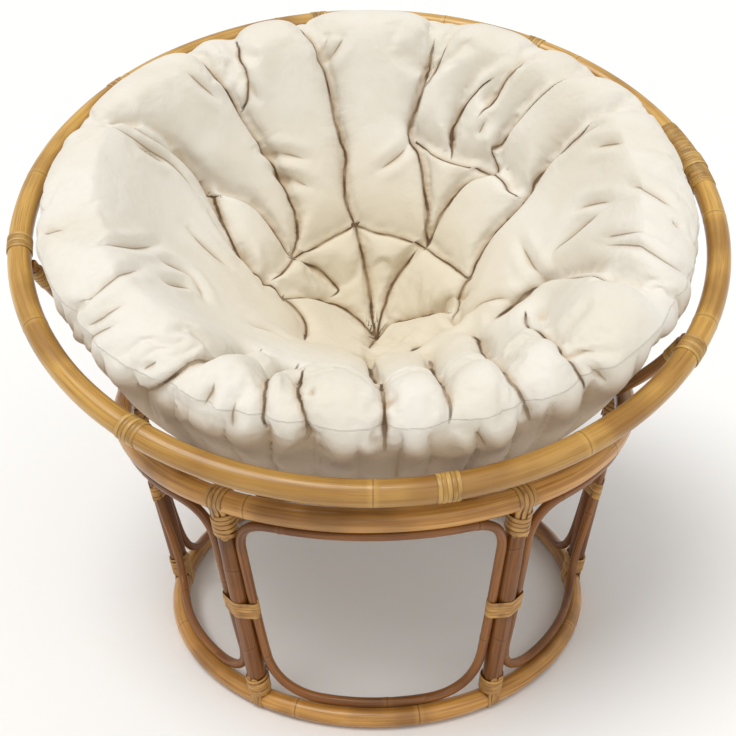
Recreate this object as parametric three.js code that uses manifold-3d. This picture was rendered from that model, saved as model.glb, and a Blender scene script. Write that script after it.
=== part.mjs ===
// Papasan chair: a tufted round cushion in a rattan bowl that sits loose in the top ring of a rattan base.
// Millimetres, +Z up. The origin is on the floor under the middle of the bowl's rim, and the front faces -Y.

import * as THREE from "three";
import { mergeVertices } from "three/addons/utils/BufferGeometryUtils.js";
import Module from "manifold-3d";

const wasm = await Module();
wasm.setup();

// Gaps between neighbours
const FIT_GAP = 0.3;
const CUSHION_GAP = 0.3;
const STRAND_GAP = 0.8;

// Bowl: rim, ribs and hoops
const RIM_OUTER_DIAMETER = 1100;
const RIM_POLE = 35;
const RIB_POLE = 19;
const RIB_COUNT = 8;
const RIB_TURN = 13.5;
const RIB_INSET = 11;
const BOWL_CENTRE_RISE = 130;
const MID_HOOP_POLE = 16;
const MID_HOOP_ANGLE = 50;
const FOOT_HOOP_POLE = 16;
const FOOT_HOOP_ANGLE = 20;
const RIB_TAIL = 26;

// How the bowl lies in the base
const BOWL_TILT = 25.5;
const BOWL_LEAN = 0.9;

// Base: two rings, legs and bent cane loops
const TOP_RING_INSET = 136;
const TOP_RING_POLE = 32;
const BASE_HEIGHT = 409;
const BOTTOM_RING_INSET = 56.5;
const BOTTOM_RING_POLE = 29;
const LEG_COUNT = 6;
const LEG_TURN = -1.2;
const LEG_POLE = 29;
const LOOP_POLE = 14;
const LOOP_TOP_BEND = 58;
const LOOP_BOTTOM_BEND = 78;
const LOOP_SEAT_LEAN = 24;

// Cane lashings
const CANE_WIDTH = 5;
const CANE_THICK = 1.5;
const CANE_PITCH = 5.9;
const HEAD_PASSES = 3;
const HEAD_TURNS = 3;
const FOOT_PASSES = 2;
const FOOT_TURNS = 3;
const MID_TURNS = 4;
const MID_HEIGHT_SHARE = 0.47;
const RIM_TURNS = 3;
const RIB_HEAD_TURNS = 2;
const REST_RIB = 0;
const REST_RIB_TURNS = 8;
const SCARF_TURNS = 8;
const SCARF_RIB = 2;
const MID_SLACK = 1.4;
const FLOOR_CUT = 0.5;

// Cushion
const CUSHION_RIM_GAP = 9;
const CUSHION_TURN = 5.5;
const LIP_TILT_SHARE = 0.043;
const OUTER_PETALS = 18;
const INNER_PETALS = 9;

// Facet counts
const POLE_SIDES = 8;
const THIN_POLE_SIDES = 6;
const LEG_SIDES = 10;
const RIM_FACETS = 60;
const RING_FACETS = 60;
const HOOP_FACETS = 4 * RIB_COUNT;
const RIB_FACETS = 12;
const TURN_STEPS = 8;
const RIM_TURN_STEPS = 7;
const OVER_STEPS = 5;
const MID_STEPS = 8;
const BEND_STEPS = 4;
const RUN_STEPS = 5;
const CUSHION_COLUMNS = 54;
const HALF_TURN_STEPS = 4;

const radians = THREE.MathUtils.degToRad;
const vector = (x, y, z) => new THREE.Vector3(x, y, z);

// Sizes that follow from the driving ones
const rimPole = RIM_POLE / 2;
const ribPole = RIB_POLE / 2;
const topPole = TOP_RING_POLE / 2;
const bottomPole = BOTTOM_RING_POLE / 2;
const legPole = LEG_POLE / 2;
const loopPole = LOOP_POLE / 2;
const rimRadius = RIM_OUTER_DIAMETER / 2 - rimPole;
const topOuter = RIM_OUTER_DIAMETER / 2 - TOP_RING_INSET;
const bottomOuter = topOuter - BOTTOM_RING_INSET;
const topRadius = topOuter - topPole;
const bottomRadius = bottomOuter - bottomPole;
const topHeight = BASE_HEIGHT - topPole;

// How far the middle of a facet of a bent pole lies inside its true circle
const sagOf = (radius, facets) => radius * (1 - Math.cos(Math.PI / facets));

// The radius on which a flat-sided turn of cane clears a round pole
const wrapRadius = (pole, steps) => (pole + FIT_GAP) / Math.cos(Math.PI / steps);

const overTop = wrapRadius(topPole + sagOf(topRadius, RING_FACETS), 2 * OVER_STEPS);
const underBottom = wrapRadius(bottomPole + sagOf(bottomRadius, RING_FACETS), 2 * OVER_STEPS);
const bottomHeight = underBottom * Math.cos(Math.PI / (2 * OVER_STEPS)) + CANE_THICK - FLOOR_CUT;

// The ribs lie on a sphere, so the bowl tilts in the top ring like a ball in a cup.
// The sphere rests on the cane that passes over the top ring at the heads of the legs.
const ribSphere = Math.hypot(rimRadius - RIB_INSET, BOWL_CENTRE_RISE);
const seatDistance = ribSphere + ribPole + FIT_GAP + CANE_THICK + overTop;
const sphereHeight = topHeight + Math.sqrt(seatDistance ** 2 - topRadius ** 2);
const tilt = radians(BOWL_TILT);
const lean = radians(BOWL_LEAN);
const baseX = BOWL_CENTRE_RISE * Math.cos(tilt) * Math.sin(lean);
const baseY = -BOWL_CENTRE_RISE * Math.sin(tilt);

// Materials
function finish(color, roughness) {
  return new THREE.MeshStandardMaterial({ color, roughness, metalness: 0 });
}

const rimRattan = finish(0xc9a15a, 0.42);
const baseRattan = finish(0xb9854a, 0.42);
const legRattan = finish(0x8f5f38, 0.45);
const loopCane = finish(0x96683c, 0.5);
const ribRattan = finish(0xa87a45, 0.5);
const bindingCane = finish(0xc39a58, 0.55);
const cotton = finish(0xefe6d8, 0.95);

// A named piece in a group
function piece(group, name, geometry, material) {
  const mesh = new THREE.Mesh(geometry, material);
  mesh.name = name;
  group.add(mesh);
  return mesh;
}

// Six times the volume that a closed set of triangles encloses, negative when they face inwards
function signedVolume(places, triangles) {
  let sum = 0;
  for (const [a, b, c] of triangles) sum += places[a].dot(places[b].clone().cross(places[c]));
  return sum;
}

// A closed body from vertices and triangles, turned to face out
function closedBody(places, triangles) {
  const facing = signedVolume(places, triangles) < 0;
  const order = facing ? triangles.map(([a, b, c]) => [a, c, b]) : triangles;
  const geometry = new THREE.BufferGeometry().setFromPoints(places);
  geometry.setIndex(order.flat());
  geometry.computeVertexNormals();
  return geometry;
}

// The sections of a tube along stations, each with a place and an outward direction.
// A section point is given as its distance to the side and outwards.
function tubeSections(stations, section, closed) {
  const last = stations.length - 1;
  return stations.map(({ place, out }, i) => {
    const before = stations[i > 0 ? i - 1 : closed ? last : 0].place;
    const after = stations[i < last ? i + 1 : closed ? 0 : last].place;
    const run = after.clone().sub(before).normalize();
    const side = run.clone().cross(out).normalize();
    const up = side.clone().cross(run);
    return section.map(([s, o]) => place.clone().addScaledVector(side, s).addScaledVector(up, o));
  });
}

// One unbroken tube along stations, with flat ends unless it closes on itself
function tubeAlong(stations, section, closed = false) {
  const rings = tubeSections(stations, section, closed);
  const sides = section.length;
  const spans = closed ? rings.length : rings.length - 1;
  const triangles = [];
  for (let i = 0; i < spans; i++) {
    const here = i * sides;
    const next = ((i + 1) % rings.length) * sides;
    for (let j = 0; j < sides; j++) {
      const k = (j + 1) % sides;
      triangles.push([here + j, next + j, next + k]);
      triangles.push([here + j, next + k, here + k]);
    }
  }
  if (!closed) {
    const end = (rings.length - 1) * sides;
    for (let j = 1; j < sides - 1; j++) {
      triangles.push([0, j, j + 1]);
      triangles.push([end, end + j + 1, end + j]);
    }
  }
  return closedBody(rings.flat(), triangles);
}

// Sections: a round pole, and a strand of split cane with its ridge outwards
function roundSection(radius, sides) {
  return Array.from({ length: sides }, (_, j) => {
    const angle = (2 * Math.PI * j) / sides;
    return [radius * Math.cos(angle), radius * Math.sin(angle)];
  });
}

const ridgedCane = [[-CANE_WIDTH / 2, 0], [CANE_WIDTH / 2, 0], [0, CANE_THICK]];

// The least gap between stretches of a winding that are more than half a turn apart,
// measured between points spread along the edges of its sections
const windingGaps = [];
function measureWinding(name, stations, section, apart) {
  const rings = tubeSections(stations, section, false);
  const samples = rings.map((ring) =>
    ring.flatMap((point, j) => [point, point.clone().lerp(ring[(j + 1) % ring.length], 1 / 2)]),
  );
  let least = Infinity;
  for (let i = 0; i < samples.length; i++)
    for (let j = i + apart; j < samples.length; j++)
      for (const a of samples[i]) for (const b of samples[j]) least = Math.min(least, a.distanceTo(b));
  windingGaps.push([name, least]);
}

// A local frame: an origin and three directions
class Place {
  constructor(origin, x, y, z) {
    this.origin = origin;
    this.axes = [x, y, z];
  }
  dir(...parts) {
    const sum = vector(0, 0, 0);
    parts.forEach((part, i) => sum.addScaledVector(this.axes[i], part));
    return sum;
  }
  at(...parts) {
    return this.dir(...parts).add(this.origin);
  }
  station(place, out) {
    return { place: this.at(...place), out: this.dir(...out).normalize() };
  }
}

// Turns round the local z axis, from one height to another, on an ellipse with the two given radii
function turnStations(frame, count, steps, radiusX, radiusY, from, to, startAngle) {
  const total = Math.round(count * steps);
  return Array.from({ length: total + 1 }, (_, i) => {
    const angle = startAngle + (2 * Math.PI * i) / steps;
    const c = Math.cos(angle);
    const s = Math.sin(angle);
    const height = from + ((to - from) * i) / total;
    return frame.station([radiusX * c, radiusY * s, height], [c / radiusX, s / radiusY, 0]);
  });
}

// A closed mesh as a solid that can be cut, and back
function asSolid(geometry) {
  const bare = geometry.clone();
  bare.deleteAttribute("normal");
  bare.deleteAttribute("uv");
  const merged = mergeVertices(bare);
  return new wasm.Manifold(
    new wasm.Mesh({
      numProp: 3,
      vertProperties: merged.attributes.position.array,
      triVerts: new Uint32Array(merged.index.array),
    }),
  );
}

function asGeometry(solid) {
  const mesh = solid.getMesh();
  const geometry = new THREE.BufferGeometry();
  geometry.setAttribute("position", new THREE.BufferAttribute(mesh.vertProperties, 3));
  geometry.setIndex(new THREE.BufferAttribute(mesh.triVerts, 1));
  geometry.computeVertexNormals();
  return geometry;
}

function ringGeometry(radius, pole, height, sides, facets) {
  return new THREE.TorusGeometry(radius, pole, sides, facets).translate(0, 0, height);
}

// Base rings
function addBaseRings(base) {
  const top = ringGeometry(topRadius, topPole, topHeight, POLE_SIDES, RING_FACETS);
  const bottom = ringGeometry(bottomRadius, bottomPole, bottomHeight, POLE_SIDES, RING_FACETS);
  piece(base, "base_top_ring", top, baseRattan);
  piece(base, "base_bottom_ring", bottom, baseRattan);
}

const legAngle = (k) => radians(-90 + LEG_TURN + (360 / LEG_COUNT) * (k + 1 / 2));

// A frame at the end of a leg: x along the ring, y square to the leg and outwards, z along the leg
function legFrame(k, fromTop) {
  const angle = legAngle(k);
  const outward = vector(Math.cos(angle), Math.sin(angle), 0);
  const along = vector(-Math.sin(angle), Math.cos(angle), 0);
  const head = outward.clone().multiplyScalar(topRadius).setZ(topHeight);
  const foot = outward.clone().multiplyScalar(bottomRadius).setZ(bottomHeight);
  const up = head.clone().sub(foot);
  const length = up.length();
  up.normalize();
  const square = along.clone().cross(up).normalize();
  if (square.dot(outward) < 0) square.negate();
  const z = fromTop ? up.clone().negate() : up;
  return { frame: new Place(fromTop ? head : foot, along, square, z), length };
}

// Legs: straight poles, saddle-cut at both ends to seat on the rings
function addLegs(base) {
  const topCut = asSolid(ringGeometry(topRadius, topPole + FIT_GAP, topHeight, POLE_SIDES, RING_FACETS));
  const bottomCut = asSolid(
    ringGeometry(bottomRadius, bottomPole + FIT_GAP, bottomHeight, POLE_SIDES, RING_FACETS),
  );
  for (let k = 0; k < LEG_COUNT; k++) {
    const { frame, length } = legFrame(k, false);
    const pole = new THREE.CylinderGeometry(legPole, legPole, length, LEG_SIDES);
    const [along, , up] = frame.axes;
    const turn = new THREE.Matrix4().makeBasis(along, up, along.clone().cross(up));
    pole.applyMatrix4(turn);
    const middle = frame.at(0, 0, length / 2);
    pole.translate(middle.x, middle.y, middle.z);
    const cut = asSolid(pole).subtract(topCut).subtract(bottomCut);
    piece(base, `leg_${k + 1}`, asGeometry(cut), legRattan);
  }
}

// Bay loops: one thin cane bent round inside each bay, under the top ring, down beside the two legs
// and along the inner shoulder of the bottom ring
const loopClear = legPole + FIT_GAP + loopPole;
const loopTop = topHeight - topPole - FIT_GAP - loopPole;
const loopSeat = bottomPole + FIT_GAP + loopPole;
const loopInset = loopSeat * Math.sin(radians(LOOP_SEAT_LEAN));
const loopBottom = bottomHeight + loopSeat * Math.cos(radians(LOOP_SEAT_LEAN));

// The share of the way up from the loop's bottom run to its top run
const upLoop = (z) => (z - loopBottom) / (loopTop - loopBottom);

function legRadiusAt(z) {
  const share = (z - bottomHeight) / (topHeight - bottomHeight);
  return THREE.MathUtils.lerp(bottomRadius, topRadius, share);
}

function loopRadiusAt(z) {
  const drawnIn = 1 - upLoop(z);
  const atTop = topRadius - legRadiusAt(loopTop);
  const atBottom = loopInset + legRadiusAt(loopBottom) - bottomRadius;
  return legRadiusAt(z) + atTop * upLoop(z) ** 3 - atBottom * drawnIn ** 3;
}

// Half the width of the loop at a height, along the curve of the base
function loopHalfWidth(z) {
  const radius = loopRadiusAt(z);
  return radius * (Math.PI / LEG_COUNT - Math.asin(loopClear / legRadiusAt(z)));
}

// A rounded corner of the loop, as points of a quadratic curve in width and height
function bend(corner, from, to) {
  const curve = new THREE.QuadraticBezierCurve(from, corner, to);
  return curve.getPoints(BEND_STEPS);
}

function loopOutline() {
  const topWidth = loopHalfWidth(loopTop);
  const bottomWidth = loopHalfWidth(loopBottom);
  const point = (x, y) => new THREE.Vector2(x, y);
  const topEnd = loopTop - LOOP_TOP_BEND;
  const bottomEnd = loopBottom + LOOP_BOTTOM_BEND;
  const right = [
    ...bend(point(bottomWidth, loopBottom), point(bottomWidth - LOOP_BOTTOM_BEND, loopBottom),
      point(loopHalfWidth(bottomEnd), bottomEnd)),
    ...bend(point(topWidth, loopTop), point(loopHalfWidth(topEnd), topEnd),
      point(topWidth - LOOP_TOP_BEND, loopTop)),
  ];
  const run = (from, to, z) =>
    Array.from({ length: RUN_STEPS - 1 }, (_, i) => point(from + ((to - from) * (i + 1)) / RUN_STEPS, z));
  const left = right.map((p) => point(-p.x, p.y)).reverse();
  const topRun = run(topWidth - LOOP_TOP_BEND, LOOP_TOP_BEND - topWidth, loopTop);
  const bottomRun = run(LOOP_BOTTOM_BEND - bottomWidth, bottomWidth - LOOP_BOTTOM_BEND, loopBottom);
  return [...right, ...topRun, ...left, ...bottomRun];
}

function addBayLoops(base) {
  const outline = loopOutline();
  for (let k = 0; k < LEG_COUNT; k++) {
    const middle = legAngle(k) - Math.PI / LEG_COUNT;
    const stations = outline.map(({ x, y }) => {
      const radius = loopRadiusAt(y);
      const angle = middle + x / radius;
      const out = vector(Math.cos(angle), Math.sin(angle), 0);
      return { place: out.clone().multiplyScalar(radius).setZ(y), out };
    });
    piece(base, `bay_loop_${k + 1}`, tubeAlong(stations, roundSection(loopPole, THIN_POLE_SIDES), true), loopCane);
  }
}

// A tee lashing: the cane passes over the ring to and fro, lies down both faces of the leg,
// and is whipped round the leg over its own ends. One end of one strand starts it, the other ends it.
function teeStations(frame, over, splay, passes, turns) {
  const onLeg = legPole + STRAND_GAP;
  const whip = wrapRadius(onLeg + CANE_THICK + STRAND_GAP / 2, TURN_STEPS);
  const whipTop = over + CANE_WIDTH;
  const whipEnd = whipTop + CANE_PITCH * turns;
  const tail = whipEnd + CANE_WIDTH;
  const stations = [];
  for (let pass = 0; pass < passes; pass++) {
    const x = (pass - (passes - 1) / 2) * CANE_PITCH;
    const depth = Math.sqrt(onLeg ** 2 - x ** 2);
    const down = (height, face) => frame.station([x, face * depth, height], [x, face * depth, 0]);
    const crossing = Array.from({ length: OVER_STEPS + 1 }, (_, i) => {
      const inner = i > 0 && i < OVER_STEPS;
      const angle = Math.PI * (i / OVER_STEPS - 1 / 2) + (inner ? splay : 0);
      return frame.station([x, over * Math.sin(angle), -over * Math.cos(angle)], [0, Math.sin(angle), -Math.cos(angle)]);
    });
    const strand = [down(tail, -1), down(whipTop - CANE_WIDTH / 2, -1), ...crossing,
      down(whipTop - CANE_WIDTH / 2, 1), down(tail, 1)];
    stations.push(...(pass % 2 ? strand.reverse() : strand));
    if (pass < passes - 1) {
      const face = pass % 2 ? -1 : 1;
      stations.push(frame.station([x + CANE_PITCH / 2, face * onLeg, tail + CANE_PITCH / 2], [0, face, 0]));
    }
  }
  const face = passes % 2 ? 1 : -1;
  const start = (face * Math.PI) / 2;
  const low = tail + CANE_PITCH;
  const overEnds = onLeg + CANE_THICK + STRAND_GAP / 2;
  const first = turnStations(frame, 1, TURN_STEPS, overEnds, overEnds, low, whipEnd, start);
  const lead = first.slice(0, TURN_STEPS / 2 + 1);
  const rest = turnStations(frame, turns, TURN_STEPS, whip, whip, whipEnd, whipTop, start + Math.PI);
  stations.push(...lead, ...rest);
  return stations;
}

// Turns on an ellipse round the leg and the sides of its two loops
function midStations(k) {
  const { frame, length } = legFrame(k, false);
  const reachX = (loopClear + loopPole + MID_SLACK) / Math.cos(Math.PI / MID_STEPS);
  const reachY = (legPole + MID_SLACK) / Math.cos(Math.PI / MID_STEPS);
  const from = length * MID_HEIGHT_SHARE;
  return turnStations(frame, MID_TURNS, MID_STEPS, reachX, reachY, from, from + MID_TURNS * CANE_PITCH, 0);
}

function addBaseLashings(base) {
  const splay = Math.atan((topRadius - bottomRadius) / (topHeight - bottomHeight));
  const floor = new THREE.BoxGeometry(2 * topRadius, 2 * topRadius, 2 * underBottom);
  const below = asSolid(floor.translate(0, 0, -underBottom));
  for (let k = 0; k < LEG_COUNT; k++) {
    const head = teeStations(legFrame(k, true).frame, overTop, 0, HEAD_PASSES, HEAD_TURNS);
    const foot = teeStations(legFrame(k, false).frame, underBottom, splay, FOOT_PASSES, FOOT_TURNS);
    const mid = midStations(k);
    const footSolid = asSolid(tubeAlong(foot, ridgedCane)).subtract(below);
    piece(base, `head_lashing_${k + 1}`, tubeAlong(head, ridgedCane), bindingCane);
    piece(base, `foot_lashing_${k + 1}`, asGeometry(footSolid), bindingCane);
    piece(base, `mid_lashing_${k + 1}`, tubeAlong(mid, ridgedCane), bindingCane);
    if (k === 0) {
      measureWinding("head lashing", head, ridgedCane, HALF_TURN_STEPS);
      measureWinding("foot lashing", foot, ridgedCane, HALF_TURN_STEPS);
      measureWinding("mid lashing", mid, ridgedCane, HALF_TURN_STEPS);
    }
  }
}

// Bowl, in its own frame: the origin is the middle of the ribs' sphere and +Z is the bowl's axis
const ribAngle = (k) => radians(-90 + RIB_TURN + (360 / RIB_COUNT) * k);
const ribHead = Math.acos(BOWL_CENTRE_RISE / ribSphere);
const ribTail = radians(FOOT_HOOP_ANGLE) - RIB_TAIL / ribSphere;
const ribSag = sagOf(ribSphere, (2 * Math.PI * RIB_FACETS) / (ribHead - ribTail));
const hoopDistance = (hoopPole) => ribSphere - ribPole - FIT_GAP - ribSag - hoopPole;

function addRim(bowl) {
  const rim = ringGeometry(rimRadius, rimPole, -BOWL_CENTRE_RISE, POLE_SIDES, RIM_FACETS);
  piece(bowl, "bowl_rim", rim, rimRattan);
}

// Ribs: bent poles on the sphere, saddle-cut under the rim, with tails just past the foot hoop
function addRibs(bowl) {
  const cut = asSolid(ringGeometry(rimRadius, rimPole + FIT_GAP, -BOWL_CENTRE_RISE, POLE_SIDES, RIM_FACETS));
  for (let k = 0; k < RIB_COUNT; k++) {
    const stations = Array.from({ length: RIB_FACETS + 1 }, (_, i) => {
      const polar = THREE.MathUtils.lerp(ribTail, ribHead, i / RIB_FACETS);
      const out = vector(Math.sin(polar) * Math.cos(ribAngle(k)), Math.sin(polar) * Math.sin(ribAngle(k)),
        -Math.cos(polar));
      return { place: out.clone().multiplyScalar(ribSphere), out };
    });
    const pole = asSolid(tubeAlong(stations, roundSection(ribPole, POLE_SIDES)));
    const parts = pole.subtract(cut).decompose();
    parts.sort((a, b) => b.volume() - a.volume());
    piece(bowl, `bowl_rib_${k + 1}`, asGeometry(parts[0]), ribRattan);
  }
}

// Hoops: bent poles fixed across the inside of the ribs
function hoopGeometry(pole, angle) {
  const distance = hoopDistance(pole);
  const polar = radians(angle);
  const hoop = ringGeometry(distance * Math.sin(polar), pole, -distance * Math.cos(polar), POLE_SIDES, HOOP_FACETS);
  return hoop.rotateZ(ribAngle(0));
}

function addHoops(bowl) {
  piece(bowl, "bowl_mid_hoop", hoopGeometry(MID_HOOP_POLE / 2, MID_HOOP_ANGLE), ribRattan);
  piece(bowl, "bowl_foot_hoop", hoopGeometry(FOOT_HOOP_POLE / 2, FOOT_HOOP_ANGLE), ribRattan);
}

// Turns of cane round the rim, from one distance beside a rib to another
const wrapRim = wrapRadius(rimPole + sagOf(rimRadius, RIM_FACETS), RIM_TURN_STEPS);
const wrapRib = wrapRadius(ribPole + FIT_GAP, RIM_TURN_STEPS);
const besideRib = wrapRib + CANE_THICK + CANE_WIDTH / 2 + FIT_GAP;

function roundRim(k, from, turns) {
  const total = turns * RIM_TURN_STEPS;
  return Array.from({ length: total + 1 }, (_, i) => {
    const spot = ribAngle(k) + (from + (CANE_PITCH * i) / RIM_TURN_STEPS) / rimRadius;
    const radial = vector(Math.cos(spot), Math.sin(spot), 0);
    const round = -Math.PI / 2 + (2 * Math.PI * i) / RIM_TURN_STEPS;
    const out = radial.clone().multiplyScalar(Math.cos(round)).add(vector(0, 0, Math.sin(round)));
    const place = radial.clone().multiplyScalar(rimRadius).addScaledVector(out, wrapRim);
    place.z -= BOWL_CENTRE_RISE;
    return { place, out };
  });
}

// Rim lashings: turns round the rim beside a rib, then round the rib's head.
// The front rib is bound down to where it rests on the base's top ring.
function rimStations(k) {
  const ribTurns = k === REST_RIB ? REST_RIB_TURNS : RIB_HEAD_TURNS;
  const angle = ribAngle(k);
  const outward = vector(Math.cos(angle), Math.sin(angle), 0);
  const along = vector(-Math.sin(angle), Math.cos(angle), 0);
  const stations = roundRim(k, -besideRib - CANE_PITCH * RIM_TURNS, RIM_TURNS);
  const startPolar = Math.acos((BOWL_CENTRE_RISE + wrapRim + CANE_WIDTH) / ribSphere);
  const steps = ribTurns * RIM_TURN_STEPS;
  for (let i = 0; i <= steps; i++) {
    const polar = startPolar - (CANE_PITCH * i) / (RIM_TURN_STEPS * ribSphere);
    const outer = outward.clone().multiplyScalar(Math.sin(polar)).add(vector(0, 0, -Math.cos(polar)));
    const round = -Math.PI / 2 - (2 * Math.PI * i) / RIM_TURN_STEPS;
    const out = along.clone().multiplyScalar(-Math.cos(round)).addScaledVector(outer, -Math.sin(round));
    const place = outer.multiplyScalar(ribSphere).addScaledVector(out, wrapRib);
    stations.push({ place, out });
  }
  return stations;
}

// The rim's own ends overlap in a long scarf joint, wound with cane on both sides of one rib's lashing
function scarfStations(afterRib) {
  const run = CANE_PITCH * SCARF_TURNS;
  const pastLashing = besideRib + CANE_PITCH * (RIM_TURNS + 1);
  return roundRim(SCARF_RIB, afterRib ? besideRib : -pastLashing - run, SCARF_TURNS);
}

function addRimLashings(bowl) {
  for (let k = 0; k < RIB_COUNT; k++) {
    const stations = rimStations(k);
    piece(bowl, `rim_lashing_${k + 1}`, tubeAlong(stations, ridgedCane), bindingCane);
    if (k === REST_RIB) measureWinding("rim lashing", stations, ridgedCane, HALF_TURN_STEPS);
  }
  for (const afterRib of [false, true]) {
    const stations = scarfStations(afterRib);
    const name = afterRib ? "scarf_winding_2" : "scarf_winding_1";
    piece(bowl, name, tubeAlong(stations, ridgedCane), bindingCane);
    measureWinding(name, stations, ridgedCane, HALF_TURN_STEPS);
  }
}

// Cushion: a round pad that lines the bowl. Creases run from tufts in its middle and in a ring about it,
// out over the wall and the lip, and part it into puffed petals.
const thickHoop = Math.max(MID_HOOP_POLE, FOOT_HOOP_POLE) / 2;
const hoopSag = sagOf(hoopDistance(thickHoop) * Math.sin(radians(MID_HOOP_ANGLE)), HOOP_FACETS);
const padUnder = hoopDistance(thickHoop) - thickHoop - hoopSag - CUSHION_GAP;
const cushionRadius = rimRadius - rimPole - CUSHION_RIM_GAP;

// Rows of the upper side from the middle outwards, as shares of the cushion's radius:
// the plan radius and the height above the rim of the creases, then those of the petals
const middleShare = -0.589;
const seatShares = [
  [0.123, -0.563, 0.103, -0.518],
  [0.237, -0.494, 0.209, -0.427],
  [0.352, -0.419, 0.326, -0.348],
];
const wallShares = [
  [0.464, -0.364, 0.431, -0.273],
  [0.577, -0.296, 0.538, -0.178],
  [0.682, -0.213, 0.636, -0.083],
  [0.755, -0.095, 0.711, 0.024],
  [0.806, 0.04, 0.779, 0.126],
];
const lipShares = [
  [0.87, 0.134, 0.854, 0.19],
  [0.933, 0.154, 0.929, 0.178],
  [0.982, 0.123, 0.99, 0.13],
  [0.998, 0.047, 1, 0.047],
];
const lipUnderShare = 0.98;

function cushionRows() {
  const upper = (petals) => (shares) => {
    const [creaseOut, creaseUp, petalOut, petalUp] = shares.map((share) => share * cushionRadius);
    return { crease: [creaseOut, creaseUp], petal: [petalOut, petalUp], petals };
  };
  const onMid = radians(MID_HOOP_ANGLE);
  const onFoot = radians(FOOT_HOOP_ANGLE);
  const widest = lipUnderShare * Math.acos(BOWL_CENTRE_RISE / padUnder);
  const under = [widest, (widest + onMid) / 2, onMid, (onMid + onFoot) / 2, onFoot].map((polar) => {
    const spot = [padUnder * Math.sin(polar), BOWL_CENTRE_RISE - padUnder * Math.cos(polar)];
    return { crease: spot, petal: spot, petals: OUTER_PETALS };
  });
  const seat = seatShares.map(upper(INNER_PETALS));
  const rest = [...wallShares, ...lipShares].map(upper(OUTER_PETALS));
  return [...seat, ...rest, ...under];
}

// The lip lies higher at the front than at the back, by a share that grows over the wall
function lipLift(radius, angle) {
  const [wallStart] = wallShares[1];
  const onLip = THREE.MathUtils.clamp((radius / cushionRadius - wallStart) / (1 - wallStart), 0, 1);
  return -LIP_TILT_SHARE * cushionRadius * onLip * Math.sin(angle);
}

// A petal rises from its crease like a quarter of an ellipse
function addCushion(bowl) {
  const rows = cushionRows();
  const turn = ribAngle(0) + radians(CUSHION_TURN);
  const places = [vector(0, 0, middleShare * cushionRadius - BOWL_CENTRE_RISE)];
  rows.forEach(({ crease, petal, petals }) => {
    for (let column = 0; column < CUSHION_COLUMNS; column++) {
      const share = column / CUSHION_COLUMNS;
      const angle = turn + 2 * Math.PI * share;
      const risen = Math.sqrt(Math.abs(Math.sin(Math.PI * petals * share)));
      const out = THREE.MathUtils.lerp(crease[0], petal[0], risen);
      const onUpper = crease !== petal;
      const up = THREE.MathUtils.lerp(crease[1], petal[1], risen) + (onUpper ? lipLift(out, angle) : 0);
      places.push(vector(out * Math.cos(angle), out * Math.sin(angle), up - BOWL_CENTRE_RISE));
    }
  });
  places.push(vector(0, 0, -padUnder * Math.cos(radians(FOOT_HOOP_ANGLE))));
  const triangles = [];
  const end = places.length - 1;
  for (let column = 0; column < CUSHION_COLUMNS; column++) {
    const next = (column + 1) % CUSHION_COLUMNS;
    triangles.push([0, 1 + column, 1 + next]);
    for (let row = 0; row < rows.length - 1; row++) {
      const here = 1 + row * CUSHION_COLUMNS;
      const below = here + CUSHION_COLUMNS;
      triangles.push([here + column, below + column, below + next]);
      triangles.push([here + column, below + next, here + next]);
    }
    const low = 1 + (rows.length - 1) * CUSHION_COLUMNS;
    triangles.push([end, low + next, low + column]);
  }
  piece(bowl, "cushion", closedBody(places, triangles), cotton);
}

const base = new THREE.Group();
base.position.set(baseX, baseY, 0);
addBaseRings(base);
addLegs(base);
addBayLoops(base);
addBaseLashings(base);

const bowl = new THREE.Group();
bowl.position.set(baseX, baseY, sphereHeight);
bowl.rotation.set(tilt, lean, 0, "YXZ");
addRim(bowl);
addRibs(bowl);
addHoops(bowl);
addRimLashings(bowl);
addCushion(bowl);

for (const [name, gap] of windingGaps) console.log(`${name}: least gap to itself ${gap.toFixed(2)} mm`);

const chair = new THREE.Group();
chair.add(base, bowl);

export default chair;
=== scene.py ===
"""A papasan chair: a tufted cotton cushion in a rattan bowl, tilted in the top ring of a rattan base."""

import math

import bpy
import numpy as np
from mathutils import Matrix, Vector


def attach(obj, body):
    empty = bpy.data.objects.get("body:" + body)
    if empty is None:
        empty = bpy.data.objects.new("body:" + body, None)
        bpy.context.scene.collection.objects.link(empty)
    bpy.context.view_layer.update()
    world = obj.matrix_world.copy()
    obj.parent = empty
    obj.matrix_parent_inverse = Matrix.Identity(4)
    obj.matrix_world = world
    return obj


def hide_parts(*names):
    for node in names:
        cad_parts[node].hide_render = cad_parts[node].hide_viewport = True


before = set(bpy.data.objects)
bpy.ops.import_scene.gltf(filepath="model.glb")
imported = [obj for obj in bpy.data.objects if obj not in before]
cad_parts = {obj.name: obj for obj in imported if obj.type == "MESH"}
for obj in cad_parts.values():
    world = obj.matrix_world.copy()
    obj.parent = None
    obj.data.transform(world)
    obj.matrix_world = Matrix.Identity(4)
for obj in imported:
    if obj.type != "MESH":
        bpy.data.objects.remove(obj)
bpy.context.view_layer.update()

# Camera.
# It looks at the chair's front from 24 degrees above, with a 49 mm lens on a 36 mm frame, and is
# rolled a little, as the photograph was taken.
camera_reach = 1.69096
camera_rise = math.radians(24.41)
camera_roll = math.radians(-0.92)
camera_target = Vector((0.00184, 0.0, 0.39928))
camera_back = Vector((0.0, -math.cos(camera_rise), math.sin(camera_rise)))
level_right = Vector((1.0, 0.0, 0.0))
level_up = camera_back.cross(level_right)
camera_right = level_right * math.cos(camera_roll) + level_up * math.sin(camera_roll)
camera_up = level_up * math.cos(camera_roll) - level_right * math.sin(camera_roll)
lens = bpy.data.cameras.new("camera")
lens.sensor_width = 36.0
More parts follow.
